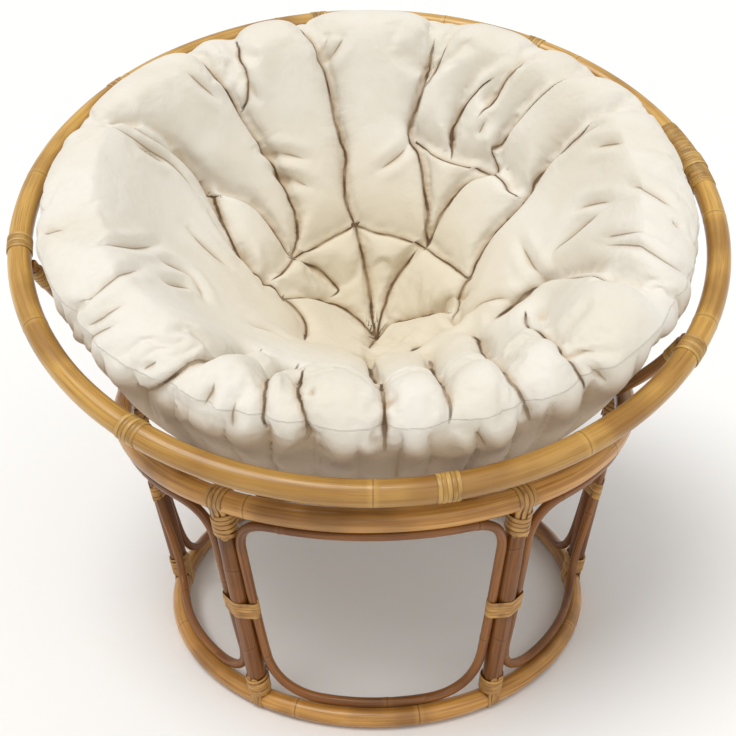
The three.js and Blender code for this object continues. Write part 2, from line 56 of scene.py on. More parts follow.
lens.lens = 49.395
lens.shift_x = -0.00764
camera = bpy.data.objects.new("camera", lens)
camera_place = camera_target + camera_back * camera_reach
camera_rows = zip(camera_right, camera_up, camera_back, camera_place)
camera.matrix_world = Matrix([*camera_rows, (0.0, 0.0, 0.0, 1.0)])
bpy.context.collection.objects.link(camera)
bpy.context.scene.camera = camera


# Base rings.
# Two rattan poles, steamed and bent into rings, whose own ends are scarfed together under a lashing.
# The skin is varnished, streaked lengthwise, and ringed by a scar at each of the plant's joints.
base_place = np.array([0.001843, -0.055966, 0.0])
top_radius, top_height, top_pole = 0.398, 0.393, 0.016
bottom_radius, bottom_height, bottom_pole = 0.343, 0.01627, 0.0145
leg_turn = math.radians(-61.2)
ring_stations = 600
pole_sides = 24
up = np.array([0.0, 0.0, 1.0])


def unit(rows):
    """Each vector of a table divided by its own length."""
    return rows / np.linalg.norm(rows, axis=-1, keepdims=True)


def level_ways(turn):
    """The level directions at some angles about the upright axis: their cosine and sine, and no height."""
    return np.stack([np.cos(turn), np.sin(turn), np.zeros(np.shape(turn))], axis=-1)


def lengths_along(line):
    """The length of the line from its start to each point. Only the first three columns are places."""
    steps = np.linalg.norm(np.diff(line[:, :3], axis=0), axis=1)
    return np.concatenate([[0.0], np.cumsum(steps)])


def faces_between(here, there):
    """Four-sided faces between two tables of point numbers, each of whose rows closes on itself."""
    corners = [here, there, np.roll(there, -1, axis=1), np.roll(here, -1, axis=1)]
    return np.stack(corners, axis=-1).reshape(-1, 4)


def put_mesh(name, points, quads, caps=()):
    """An object at the origin whose mesh has these points, four-sided faces and end faces."""
    mesh = bpy.data.meshes.new(name)
    mesh.from_pydata(points.tolist(), [], [*quads.tolist(), *(cap.tolist() for cap in caps)])
    mesh.shade_smooth()
    mesh.set_sharp_from_angle(angle=math.radians(50))
    made = bpy.data.objects.new(name, mesh)
    bpy.context.collection.objects.link(made)
    return made


def put_values(made, name, values):
    """One number, or one vector, for each point of the mesh, as an attribute that a material can read."""
    values = np.ascontiguousarray(values, dtype=np.float32)
    kind, field = ("FLOAT_VECTOR", "vector") if values.ndim == 2 else ("FLOAT", "value")
    made.data.attributes.new(name, kind, "POINT").data.foreach_set(field, values.ravel())


def sweep(name, line, out, section, closed=False):
    """A section carried along a line: each point is the line's, plus the section's first number times the
    direction to the side, plus its second number times the direction outwards."""
    section = np.broadcast_to(section, (len(line),) + section.shape[-2:])
    before = np.roll(line, 1, axis=0)
    after = np.roll(line, -1, axis=0)
    if not closed:
        before[0] = line[0]
        after[-1] = line[-1]
    run = unit(after - before)
    side = unit(np.cross(run, out))
    rise = np.cross(side, run)
    grid = line[:, None] + section[..., :1] * side[:, None] + section[..., 1:] * rise[:, None]
    stations, sides = grid.shape[:2]
    rows = np.arange(stations if closed else stations - 1)
    here = rows[:, None] * sides + np.arange(sides)
    there = ((rows + 1) % stations)[:, None] * sides + np.arange(sides)
    first = np.arange(sides)
    caps = () if closed else (first, first[::-1] + (stations - 1) * sides)
    made = put_mesh(name, grid.reshape(-1, 3), faces_between(here, there), caps)
    along = np.broadcast_to(lengths_along(line)[:, None, None], (stations, sides, 1))
    put_values(made, "grain", np.concatenate([section, along], axis=-1).reshape(-1, 3))
    return made


def bell(value, width):
    """A bell curve: one over e to the square of the value in widths."""
    return np.exp(-((value / width) ** 2))


def pole(name, line, out, radius, scars, closed=False, sides=pole_sides, swell=0.024):
    """A rattan pole. Its radius is the plain one, plus slow waves of a hundredth along the pole, plus a
    narrow bell curve at each scar, less a wider one just past it."""
    along = lengths_along(line)
    offsets = along[:, None] - np.asarray(scars)[None, :]
    nearest = offsets[np.arange(len(along)), np.abs(offsets).argmin(axis=1)]
    wave = 0.008 * np.sin(along * 21.0 + len(name)) + 0.005 * np.sin(along * 53.0 + radius * 900)
    if closed:
        wave = wave * np.sin(np.pi * along / along[-1]) ** 0.5
    bulge = swell * (bell(nearest, 0.0034) - 0.3 * bell(nearest - 0.009, 0.006))
    size = radius * (1 + wave + bulge)
    circle = level_ways(np.linspace(0, 2 * np.pi, sides, endpoint=False))[:, :2]
    made = sweep(name, line, out, size[:, None, None] * circle, closed)
    put_values(made, "scar", np.repeat(nearest, sides))
    return made


def paint(code):
    """A colour given as a web colour, in the linear values that a shader takes."""
    shares = np.array([code >> 16, (code >> 8) & 255, code & 255]) / 255
    linear = np.where(shares <= 0.04045, shares / 12.92, ((shares + 0.055) / 1.055) ** 2.4)
    return (*linear.tolist(), 1.0)


def add(tree, kind, inputs, **settings):
    """A shader node with its settings, whose inputs are values or other nodes' outputs."""
    made = tree.nodes.new("ShaderNode" + kind)
    for key, value in settings.items():
        setattr(made, key, value)
    for key, value in inputs.items():
        if isinstance(value, bpy.types.NodeSocket):
            tree.links.new(value, made.inputs[key])
        else:
            made.inputs[key].default_value = value
    return made


def read(tree, name, output="Fac"):
    """The value that the mesh carries under that name."""
    return add(tree, "Attribute", {}, attribute_name=name).outputs[output]


def new_material(name, sockets):
    """A material, its node tree and its shader, with the sockets that are the same all over the piece set."""
    material = bpy.data.materials.new(name)
    material.use_nodes = True
    shader = material.node_tree.nodes["Principled BSDF"]
    for socket, value in sockets.items():
        shader.inputs[socket].default_value = value
    return material, material.node_tree, shader


def tints(tree, ground, *layers):
    """A ground colour with layers over it, each a share and a colour. All are given as web colours."""
    tone = paint(ground)
    for share, code in layers:
        tone = add(tree, "Mix", {0: share, 6: tone, 7: paint(code)}, data_type="RGBA").outputs[2]
    return tone


def worked(tree, operation, *values):
    """Values worked together from left to right, as a sum, a difference or a product."""
    result = values[0]
    for value in values[1:]:
        result = add(tree, "Math", {0: result, 1: value}, operation=operation).outputs[0]
    return result


def from_zero(tree, value):
    """How far a value is from zero, on either side."""
    return add(tree, "Math", {0: value}, operation="ABSOLUTE").outputs[0]


def noise(tree, place, scale, detail=2.0, **inputs):
    """Cloudy noise with about that many clouds to the unit of its place."""
    return add(tree, "TexNoise", {"Vector": place, "Scale": scale, "Detail": detail, **inputs}).outputs[0]


def raised(tree, shader, height, strength, distance):
    """Shades the skin as if it were raised by a height, at that strength and distance."""
    bump = add(tree, "Bump", {"Height": height, "Strength": strength, "Distance": distance})
    tree.links.new(bump.outputs[0], shader.inputs["Normal"])


def eased(tree, value, low, high, start=0.0, end=1.0):
    """A value that goes from start to end, smoothly, while the given one goes from low to high."""
    inputs = {0: value, 1: low, 2: high, 3: start, 4: end}
    return add(tree, "MapRange", inputs, interpolation_type="SMOOTHSTEP").outputs[0]


def stretched(tree, place, across, along, detail=3.0):
    """Noise on the grain's coordinates, with that many features to the metre across and along the pole."""
    scaled = add(tree, "VectorMath", {0: place, 1: (across, across, along)}, operation="MULTIPLY").outputs[0]
    return noise(tree, scaled, 1.0, detail, Roughness=0.55)


def rattan(name, pale, honey, brown, scar, patch_share=0.6, coat=0.4, front_shade_share=0.0, under_shade_share=0.0):
    """Varnished rattan: honey with pale and brown streaks along the pole, clouded by slow patches, darker in
    a thin ring at each scar and paler beside it. Fine fibres raise the skin a little. The front shade share
    and the under shade share are how much painted shade browns the pole at the chair's front, and inside and
    under a ring."""
    sockets = {"Specular IOR Level": 0.35, "Coat Weight": coat, "Coat Roughness": 0.2}
    material, tree, shader = new_material(name, sockets)
    grain = read(tree, "grain", "Vector")
    place = add(tree, "TexCoord", {}).outputs["Object"]
    broad = stretched(tree, grain, 170, 5)
    fine = stretched(tree, grain, 700, 14, detail=4.0)
    patches = noise(tree, place, 9.0)
    # How far back a point lies: the pole is painted browner the further to the front it is, as painted shade.
    depth = add(tree, "SeparateXYZ", {0: place}).outputs[1]
    section = add(tree, "SeparateXYZ", {0: grain})
    # Down less out across the pole: high inside and under a ring, where painted shade goes.
    under = worked(tree, "SUBTRACT", section.outputs[0], section.outputs[1])
    away = from_zero(tree, read(tree, "scar"))
    tone = tints(
        tree,
        pale,
        (eased(tree, broad, 0.35, 0.68), honey),
        (eased(tree, patches, 0.42, 0.72, 0.0, patch_share), brown),
        # Painted shade: browner at the chair's front, by the front shade share.
        (eased(tree, depth, -0.56, -0.24, front_shade_share, 0.0), brown),
        # Painted shade: browner inside and under the pole, by the under shade share.
        (eased(tree, under, -0.004, 0.024, 0.0, under_shade_share), brown),
        (eased(tree, fine, 0.52, 0.72, 0.0, 0.55), brown),
        (eased(tree, away, 0.002, 0.010, 0.3, 0.0), pale),
        (eased(tree, away, 0.0004, 0.0016, 0.55, 0.0), scar),
    )
    tree.links.new(tone, shader.inputs["Base Color"])
    tree.links.new(eased(tree, fine, 0.3, 0.7, 0.27, 0.42), shader.inputs["Roughness"])
    raised(tree, shader, fine, 0.35, 0.0003)
    return material


def dress(made, material, body, material_slot, *nodes):
    """Gives a piece its material and the body that it rides on, and hides the CAD nodes that it stands for.
    """
    made.data.materials.append(material)
    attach(made, body)
    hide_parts(*nodes)


def ring_line(radius, height, start, stations):
    """A level circle about the middle of its frame, and the direction outwards at each of its points."""
    outward = level_ways(start + np.linspace(0, 2 * np.pi, stations, endpoint=False))
    return outward * radius + up * height, outward


base_honeys = 0xD09A50, 0xB07A36, 0x684016, 0x40260E
# The base rings get painted shade inside and under them.
base_rattan = rattan("varnished base rattan", *base_honeys, coat=0.3, under_shade_share=0.6)
top_scars = (0.19, 0.52, 0.81, 1.16, 1.49, 1.84, 2.13)
bottom_scars = (0.21, 0.55, 0.92, 1.3, 1.58, 1.86, 2.04)
for ring_name, radius, height, thickness, scars in (
    ("base_top_ring", top_radius, top_height, top_pole, top_scars),
    ("base_bottom_ring", bottom_radius, bottom_height, bottom_pole, bottom_scars),
):
    line, outward = ring_line(radius, height, leg_turn, ring_stations)
    ring = pole(ring_name + "_pole", line + base_place, outward, thickness, scars, closed=True)
    dress(ring, base_rattan, "base", "base_rattan", ring_name)


# Legs.
# Six straight rattan poles that lean outwards from the bottom ring to the top ring. Both ends are cut
# to a fish mouth that seats on the ring, and the cane lashings hold them there.
leg_count = 6
leg_pole = 0.0145
leg_stations = 90
seat_gap = 0.0003


def mesh_rows(mesh, kind):
    """The places ("co") or the outward directions ("normal") of a mesh's points, as a table."""
    flat = np.empty(len(mesh.vertices) * 3, dtype=np.float32)
    mesh.vertices.foreach_get(kind, flat)
    return flat.reshape(-1, 3).astype(float)


def move_points(mesh, points):
    """Puts a mesh's points at new places."""
    mesh.vertices.foreach_set("co", points.astype(np.float32).ravel())
    mesh.update()


def leg_axes(k):
    """The ring's middle at the leg's head and at its foot, then the directions along the ring, square to the
    leg and outwards, and up the leg."""
    angle = leg_turn + k * 2 * math.pi / leg_count
    outward, along = level_ways(angle), level_ways(angle + math.pi / 2)
    head = outward * top_radius + up * top_height + base_place
    foot = outward * bottom_radius + up * bottom_height + base_place
    rise = unit(head - foot)
    return head, foot, along, np.cross(along, rise), rise


def fish_mouth(made, foot, square, rise, length):
    """Moves each point along the leg, more the nearer it is to an end, so that the ends lie on the rings: at
    the root of the ring's radius squared less the point's own distance from the leg's middle squared."""
    points = mesh_rows(made.data, "co")
    height = (points - foot) @ rise
    depth = (points - foot) @ square
    low = np.sqrt(np.maximum((bottom_pole + seat_gap) ** 2 - depth**2, 0))
    high = length - np.sqrt(np.maximum((top_pole + seat_gap) ** 2 - depth**2, 0))
    moved = low + (high - low) * height / length - height
    move_points(made.data, points + moved[:, None] * rise)


leg_rattan = rattan("varnished leg rattan", 0x84501A, 0x64360A, 0x3A1C08, 0x241408, coat=0.1)
leg_scars = ((0.13, 0.31), (0.2,), (0.09, 0.29), (0.16, 0.33), (0.24,), (0.11, 0.27))
for k in range(leg_count):
    head, foot, along, square, rise = leg_axes(k)
    leg_length = np.linalg.norm(head - foot)
    line = foot + np.linspace(0, leg_length, leg_stations)[:, None] * rise
    leg = pole(f"leg_pole_{k + 1}", line, np.broadcast_to(square, line.shape), leg_pole, leg_scars[k])
    fish_mouth(leg, foot, square, rise, leg_length)
    dress(leg, leg_rattan, "base", "leg_rattan", f"leg_{k + 1}")


# Bay loops.
# In each bay between two legs one thin cane is bent to a closed loop: under the top ring, down beside the
# two legs, and along the inner shoulder of the bottom ring. The lashings tie it to the legs.
loop_pole = 0.007
loop_top_bend, loop_bottom_bend = 0.058, 0.078
loop_seat_lean = math.radians(24)
loop_beside = leg_pole + seat_gap + loop_pole
loop_top = top_height - top_pole - seat_gap - loop_pole
loop_seat = bottom_pole + seat_gap + loop_pole
loop_inset = loop_seat * math.sin(loop_seat_lean)
loop_bottom = bottom_height + loop_seat * math.cos(loop_seat_lean)
bend_points, run_points, loop_stations = 40, 30, 420


def leg_radius_at(height):
    """How far out a leg's middle is at a height: a straight line between the two rings."""
    share = (height - bottom_height) / (top_height - bottom_height)
    return bottom_radius + (top_radius - bottom_radius) * share


def loop_radius_at(height):
    """How far out a loop's middle is: beside the leg, but drawn under the top ring and over the bottom ring's
    inner shoulder by the cube of the way there."""
    share = (height - loop_bottom) / (loop_top - loop_bottom)
    at_top = top_radius - leg_radius_at(loop_top)
    at_bottom = loop_inset + leg_radius_at(loop_bottom) - bottom_radius
    return leg_radius_at(height) + at_top * share**3 - at_bottom * (1 - share) ** 3


def loop_half_width(height):
    """Half the loop's width along the curve of the base, where it lies against the leg."""
    beside = np.arcsin(loop_beside / leg_radius_at(height))
    return loop_radius_at(height) * (math.pi / leg_count - beside)


def bend(corner, start, end):
    """A rounded corner: the square of the share left times the start, plus twice the product of the shares
    times the corner, plus the square of the share gone times the end."""
    share = np.linspace(0, 1, bend_points)[:, None]
    return (1 - share) ** 2 * start + 2 * share * (1 - share) * corner + share**2 * end


def evenly(line, count, closed=False):
    """The same line with its points spread evenly along its length."""
    if closed:
        line = np.concatenate([line, line[:1]])
    along = lengths_along(line)
    wanted = np.linspace(0, along[-1], count, endpoint=not closed)
    return np.stack([np.interp(wanted, along, line[:, i]) for i in range(line.shape[1])], axis=-1)


def loop_outline():
    """The loop laid flat, as widths and heights: two bottom corners, two top corners and the runs between."""
    low_end, high_end = loop_bottom + loop_bottom_bend, loop_top - loop_top_bend
    low_width, high_width = loop_half_width(loop_bottom), loop_half_width(loop_top)
    low_side, high_side = (loop_half_width(low_end), low_end), (loop_half_width(high_end), high_end)
    low = bend((low_width, loop_bottom), (low_width - loop_bottom_bend, loop_bottom), low_side)
    high = bend((high_width, loop_top), high_side, (high_width - loop_top_bend, loop_top))
    side_heights = np.linspace(low_end, high_end, run_points)[1:-1]
    side = np.stack([loop_half_width(side_heights), side_heights], axis=-1)
    right = np.concatenate([low, side, high])
    left = right[::-1] * np.array([-1.0, 1.0])
    return evenly(np.concatenate([right, left]), loop_stations, closed=True)


loop_cane = rattan("varnished loop cane", 0x96602A, 0x764416, 0x46260C, 0x2A180A, patch_share=0.5, coat=0.15)
loop_flat = loop_outline()
for k in range(leg_count):
    middle = leg_turn + (k - 0.5) * 2 * math.pi / leg_count
    radius = loop_radius_at(loop_flat[:, 1])
    angle = middle + loop_flat[:, 0] / radius
    outward = level_ways(angle)
    line = outward * radius[:, None] + up * loop_flat[:, 1:] + base_place
    scars = np.array([0.16, 0.41, 0.67, 0.98, 1.2]) + 0.02 * k
    loop = pole(f"loop_cane_{k + 1}", line, outward, loop_pole, scars, closed=True, sides=16, swell=0.05)
    dress(loop, loop_cane, "base", "loop_cane", f"bay_loop_{k + 1}")


# Base lashings.
# Strands of split cane, flat inside and rounded outside, wound wet so that they draw tight as they dry.
# At the heads and feet a strand goes over the ring and down both faces of the leg, then round the leg.
cane_thick = 0.0013
cane_gap = 0.0003
turn_steps = 36
head_lashing = {"passes": 4, "turns": 4, "pitch": 0.0074, "width": 0.0071}
foot_lashing = {"passes": 4, "turns": 5, "pitch": 0.0052, "width": 0.0050}
mid_turns, mid_pitch, mid_width, mid_start_share = 5, 0.0056, 0.0055, 0.47


def cane_section(width):
    """Half a flat oval: a straight underside, and a top that rises as the root of one less the square of the
    share of the half width."""
    share = np.array([-1, -0.92, -0.72, -0.4, 0, 0.4, 0.72, 0.92, 1])
    top = np.stack([share * width / 2, cane_thick * (0.25 + 0.75 * np.sqrt(1 - share**2))], axis=-1)
    under = np.array([[width * 0.46, 0.0], [0.0, 0.0], [-width * 0.46, 0.0]])
    return np.concatenate([top, under])


def rounded(line, rounds=2):
    """The line with its corners cut off, a quarter and three quarters of the way along each span."""
    for _ in range(rounds):
        first = line[:-1] * 0.75 + line[1:] * 0.25
        second = line[:-1] * 0.25 + line[1:] * 0.75
        inner = np.stack([first, second], axis=1).reshape(-1, line.shape[1])
        line = np.concatenate([line[:1], inner, line[-1:]])
    return line


def strand(name, line, out, width, step=0.002):
    """One unbroken strand of split cane along a line, with its rounded side out. Line and directions are
    rounded and spread evenly together."""
    both = rounded(np.concatenate([line, out * 0.01], axis=1))
    both = evenly(both, max(int(lengths_along(both)[-1] / step), 8))
    return sweep(name, both[:, :3], unit(both[:, 3:]), cane_section(width)[::-1])


def split_cane(name, pale, gold, brown):
    """Split cane: a golden skin with fine streaks along the strand and slow changes of tone, and dark edges
    where the skin was split."""
    sockets = {"Roughness": 0.42, "Coat Weight": 0.12, "Coat Roughness": 0.25}
    material, tree, shader = new_material(name, sockets)
    grain = read(tree, "grain", "Vector")
    away = from_zero(tree, add(tree, "SeparateXYZ", {0: grain}).outputs[0])
    fine = stretched(tree, grain, 1500, 30)
    slow = stretched(tree, grain, 60, 22, detail=1.0)
    patches = noise(tree, add(tree, "TexCoord", {}).outputs["Object"], 60.0, 1.0)
    tone = tints(
        tree,
        pale,
        (eased(tree, slow, 0.35, 0.65), gold),
        (eased(tree, patches, 0.5, 0.75, 0.0, 0.5), brown),
        (eased(tree, fine, 0.5, 0.75, 0.0, 0.5), brown),
        (eased(tree, away, 0.0024, 0.0034, 0.0, 0.6), brown),
    )
    tree.links.new(tone, shader.inputs["Base Color"])
    raised(tree, shader, fine, 0.3, 0.0002)
    return material


def wander(count, seed, size):
    """Small smooth unevenness of handwork: a sum of a few slow waves with chance phases."""
    chance = np.random.default_rng(seed)
    share = np.linspace(0, 1, count)[:, None]
    waves = np.sin(2 * np.pi * (share * chance.uniform(0.5, 6, 5) + chance.uniform(0, 1, 5)))
    return size * waves.mean(axis=1)


def winding(turns, pitch, seed, size):
    """The angle at each step of a winding, and how far along it is: a pitch a turn, a little uneven."""
    step = np.arange(turns * turn_steps + 1)
    return 2 * np.pi * step / turn_steps, pitch * step / turn_steps + wander(len(step), seed, size)


def tee_lashing(origin, ways_along, over, seed, passes, turns, pitch, width):
    """The strand of a tee lashing, in the leg's own directions: along the ring, square to the leg, and down
    the leg from the ring's middle. Each pass goes up one face of the leg, half round the ring and down the
    other face. Then the strand goes round the leg and the passes, up to the ring."""
    on_leg = leg_pole + cane_gap
    round_leg = on_leg + cane_thick + cane_gap
    whip_top = over + width * 0.6
    whip_end = whip_top + pitch * turns
    tail = whip_end + 0.004
    points, ways = [], []
    arc = np.linspace(-math.pi / 2, math.pi / 2, 19)
    down = np.linspace(tail, whip_top * 0.62, 7)
    flat = np.zeros_like(down)
    other_face = np.array([1.0, -1.0, 1.0])
    for number in range(passes):
        x = (number - (passes - 1) / 2) * pitch
        depth = math.sqrt(on_leg**2 - min(abs(x), on_leg * 0.9) ** 2)
        inner = np.stack([flat + x, flat - depth, down], axis=-1)
        inner_way = np.stack([flat + x, flat - depth, flat], axis=-1)
        ring_way = np.stack([arc * 0, np.sin(arc), -np.cos(arc)], axis=-1)
        ring = ring_way * over + (x, 0.0, 0.0)
        line = np.concatenate([inner, ring, inner[::-1] * other_face])
        way = unit(np.concatenate([inner_way, ring_way, inner_way * other_face]))
        line[:, 0] += wander(len(line), seed + number, 0.0007)
        face = 1 if number % 2 == 0 else -1
        points.append(line[::face])
        ways.append(way[::face])
        if number < passes - 1:
            points.append(np.array([[x + pitch / 2, face * depth, tail + 0.003]]))
            ways.append(np.array([[0.0, face, 0.0]]))
    face = 1 if passes % 2 else -1
    lead = np.linspace(0, np.pi, turn_steps // 2)
    whip = np.pi + 2 * np.pi * np.arange(1, turns * turn_steps + 1) / turn_steps
    lead_height = np.linspace(tail + 0.004, whip_end, len(lead))
    whip_height = np.linspace(whip_end, whip_top, len(whip))
    height = np.concatenate([lead_height, whip_height])
    height = height + wander(len(height), seed + 9, 0.0008)
    round_way = level_ways(face * np.pi / 2 + np.concatenate([lead, whip]))
    points.append(round_way * round_leg + up * height[:, None])
    ways.append(round_way)
    turn = np.stack(ways_along)
    return np.concatenate(points) @ turn + origin, np.concatenate(ways) @ turn


def bundle_turns(origin, ways_along, start_height, seed):
    """Turns round the hull of a leg and the two loop sides beside it: the middle of one of the three, plus
    its radius times the direction outwards, which belongs to a loop near the x axis, and else to the leg."""
    angle, further = winding(mid_turns, mid_pitch, seed, 0.0006)
    edge = math.cos(math.asin((leg_pole - loop_pole) / loop_beside))
    way = level_ways(angle)
    on_loop = np.abs(way[:, 1]) < edge
    middle = np.where(on_loop, np.sign(way[:, 0]) * loop_beside, 0.0)
    radius = np.where(on_loop, loop_pole, leg_pole) + cane_gap
    flat = way * radius[:, None] + np.stack([middle, 0 * middle, start_height + further], axis=-1)
    turn = np.stack(ways_along)
    return flat @ turn + origin, way @ turn


base_cane = split_cane("split cane of the base", 0xC2934C, 0xA27234, 0x5C3A18)
for k in range(leg_count):
    head, foot, along, square, rise = leg_axes(k)
    leg_length = np.linalg.norm(head - foot)
    for spot, place, to_middle, ring_radius, lashing, seed in (
        ("head", head, -rise, top_pole, head_lashing, 10 * k),
        ("foot", foot, rise, bottom_pole, foot_lashing, 200 + 10 * k),
    ):
        line, way = tee_lashing(place, (along, square, to_middle), ring_radius + cane_gap, seed, **lashing)
        line[:, 2] = np.maximum(line[:, 2], cane_thick)
        piece = strand(f"{spot}_cane_{k + 1}", line, way, lashing["width"])
        dress(piece, base_cane, "base", "binding_cane", f"{spot}_lashing_{k + 1}")
    line, way = bundle_turns(foot, (along, square, rise), leg_length * mid_start_share, 400 + k)
    piece = strand(f"mid_cane_{k + 1}", line, way, mid_width)
    dress(piece, base_cane, "base", "binding_cane", f"mid_lashing_{k + 1}")


# Bowl rim.
# One thick rattan pole bent to a ring 1.1 m across, which lies on the tilted bowl's edge. Its two ends are
# cut to a long scarf and bound under fine cane on the right side.
bowl_place = base_place + up * 0.796095
bowl_tilt, bowl_lean = math.radians(25.5), math.radians(0.9)
rim_radius, rim_drop, rim_pole = 0.5325, 0.130, 0.0175
rib_count = 8
rib_turn = math.radians(-76.5)
rim_start = math.radians(12)
bowl_turn = np.array(Matrix.Rotation(bowl_lean, 3, "Y") @ Matrix.Rotation(bowl_tilt, 3, "X"))


def in_bowl(points):
    """Points of the bowl's own frame, whose origin is the middle of the ribs' sphere, in the chair's."""
    return points @ bowl_turn.T + bowl_place


def bowl_way(directions):
    """Directions of the bowl's own frame in the chair's frame."""
    return directions @ bowl_turn.T


rim_honeys = 0xD4A856, 0xB88A3E, 0x80521A, 0x6B4620
# The rim gets painted shade at the chair's front, and inside and under it.
rim_rattan = rattan("varnished rim rattan", *rim_honeys, front_shade_share=0.55, under_shade_share=0.75)
line, outward = ring_line(rim_radius, -rim_drop, rim_start, 900)
rim_scars = (0.31, 0.58, 0.9, 1.21, 1.5, 1.83, 2.07, 2.4, 2.68, 2.97, 3.2)
rim = pole("rim_pole", in_bowl(line), bowl_way(outward), rim_pole, rim_scars, closed=True, sides=32)
dress(rim, rim_rattan, "bowl", "rim_rattan", "bowl_rim")


# Bowl ribs.
# Eight thinner poles bent to the bowl's curve, from under the rim down to a small hoop at the bottom.
# Their heads are hollowed to seat under the rim and are bound to it with cane.
rib_sphere = 0.53749
rib_pole = 0.0095
rib_tail_polar = math.radians(20) - 0.026 / rib_sphere
rim_polar = math.atan2(rim_radius, rim_drop)
rib_head_below = 0.0135
rib_stations = 130


def rib_azimuth(k):
    """Where a rib stands round the bowl."""
    return rib_turn + k * 2 * math.pi / rib_count


def rib_line(k, polar):
    """Points of a rib, on the sphere at polar angles from the bowl's axis, and the directions outwards."""
    outward = np.sin(polar)[:, None] * level_ways(rib_azimuth(k)) - np.cos(polar)[:, None] * up
    return outward * rib_sphere, outward


rib_rattan = rattan("varnished rib rattan", 0xA8773A, 0x85561F, 0x523010, 0x2A180A)
for k in range(rib_count):
    polar = np.linspace(rib_tail_polar, rim_polar - rib_head_below / rib_sphere, rib_stations)
    line, outward = rib_line(k, polar)
    scars = np.array([0.12, 0.3, 0.44]) + 0.013 * ((k * 5) % 8)
    rib = pole(f"rib_pole_{k + 1}", in_bowl(line), bowl_way(outward), rib_pole, scars, sides=20)
    dress(rib, rib_rattan, "bowl", "rib_rattan", f"bowl_rib_{k + 1}")


# Bowl hoops.
# Two thin poles bent to hoops inside the ribs, one half way down and one small one at the ribs' tails.
# They keep the ribs apart, and the cushion rests on them.
hoop_pole, hoop_gap = 0.008, 0.0009
hoop_reach = rib_sphere - rib_pole - hoop_gap - hoop_pole
for hoop_name, polar_degrees in (("bowl_mid_hoop", 50), ("bowl_foot_hoop", 20)):
    polar = math.radians(polar_degrees)
    line, outward = ring_line(hoop_reach * math.sin(polar), -hoop_reach * math.cos(polar), rib_turn, 320)
    scars = np.arange(0.17, 2 * math.pi * hoop_reach * math.sin(polar), 0.31)
    line, outward = in_bowl(line), bowl_way(outward)
    hoop = pole(hoop_name + "_pole", line, outward, hoop_pole, scars, closed=True, sides=16)
    dress(hoop, rib_rattan, "bowl", "rib_rattan", hoop_name)


# Rim lashings.
# Beside each rib's head a strand of split cane goes round the rim, then crosses to the rib and binds
# its head. On the right the rim's own scarf joint is bound with a long run of fine turns.
rim_cane_width, rim_cane_pitch, rim_cane_turns = 0.0060, 0.0061, 5
rim_cane_before = 0.0455
rib_head_in, rib_head_down = 0.0106, 0.0138
whip_start, whip_pitch, whip_turns, long_whip_turns = 0.024, 0.0063, 6, 8
scarf_start, scarf_turns, scarf_pitch, scarf_width = math.radians(4.2), 50, 0.0030, 0.0029
scarf_rib = 2
rim_cane = split_cane("split cane of the rim", 0xCBA45C, 0xA87E3C, 0x6B4A1E)


def rim_turns(first_azimuth, turns, pitch, reach, seed, bulge_at=None):
    """Turns of cane round the rim from an azimuth on: the rim's middle, plus the reach times a direction that
    turns, as the angle's sine outwards less its cosine upwards. Where a rib's head bulges further out than
    the rim does, they lie on the rib's round end."""
    angle, further = winding(turns, pitch, seed, 0.0007)
    spot = first_azimuth + further / rim_radius
    radial = level_ways(spot)
    way = radial * np.sin(angle)[:, None] - up * np.cos(angle)[:, None]
    middle = radial * rim_radius - up * rim_drop
    reach = reach + cane_gap
    line = middle + way * reach
    if bulge_at is not None:
        beside = (spot - bulge_at) * rim_radius
        inner = np.sqrt(np.maximum(rib_pole**2 - beside**2, 0))
        to_rib = -radial * rib_head_in - up * rib_head_down
        lift = np.sum(to_rib * way, axis=1) + inner + cane_gap
        on_rib = (inner > 0) & (lift > reach)
        line = np.where(on_rib[:, None], middle + to_rib + way * (inner + cane_gap)[:, None], line)
    return line, way


def rib_whip(k, turns, seed):
    """Turns of cane round a rib, from a little below the rim downwards: the rib's middle, plus its radius
    times a direction that turns, as the angle's sine to the side and its cosine outwards."""
    angle, further = winding(turns, whip_pitch, seed, 0.0007)
    middle, outer = rib_line(k, rim_polar - (whip_start + further) / rib_sphere)
    along = level_ways(rib_azimuth(k) + math.pi / 2)
    way = along * np.sin(angle)[:, None] + outer * np.cos(angle)[:, None]
    return middle + way * (rib_pole + cane_gap), way


for k in range(rib_count):
    whip, whip_way = rib_whip(k, long_whip_turns if k == 0 else whip_turns, 700 + k)
    reach = rim_pole
    if k == scarf_rib:
        line, way = rim_turns(scarf_start, scarf_turns, scarf_pitch, reach, 600 + k, bulge_at=rib_azimuth(k))
        piece = strand("scarf_cane", in_bowl(line), bowl_way(way), scarf_width, step=0.003)
        dress(piece, rim_cane, "bowl", "binding_cane", "scarf_winding_1", "scarf_winding_2")
        reach = rim_pole + cane_gap + cane_thick
    first = rib_azimuth(k) - rim_cane_before / rim_radius
    line, way = rim_turns(first, rim_cane_turns, rim_cane_pitch, reach, 600 + k)
    line, way = np.concatenate([line, whip]), np.concatenate([way, whip_way])
    piece = strand(f"rim_cane_{k + 1}", in_bowl(line), bowl_way(way), rim_cane_width)
    dress(piece, rim_cane, "bowl", "binding_cane", f"rim_lashing_{k + 1}")


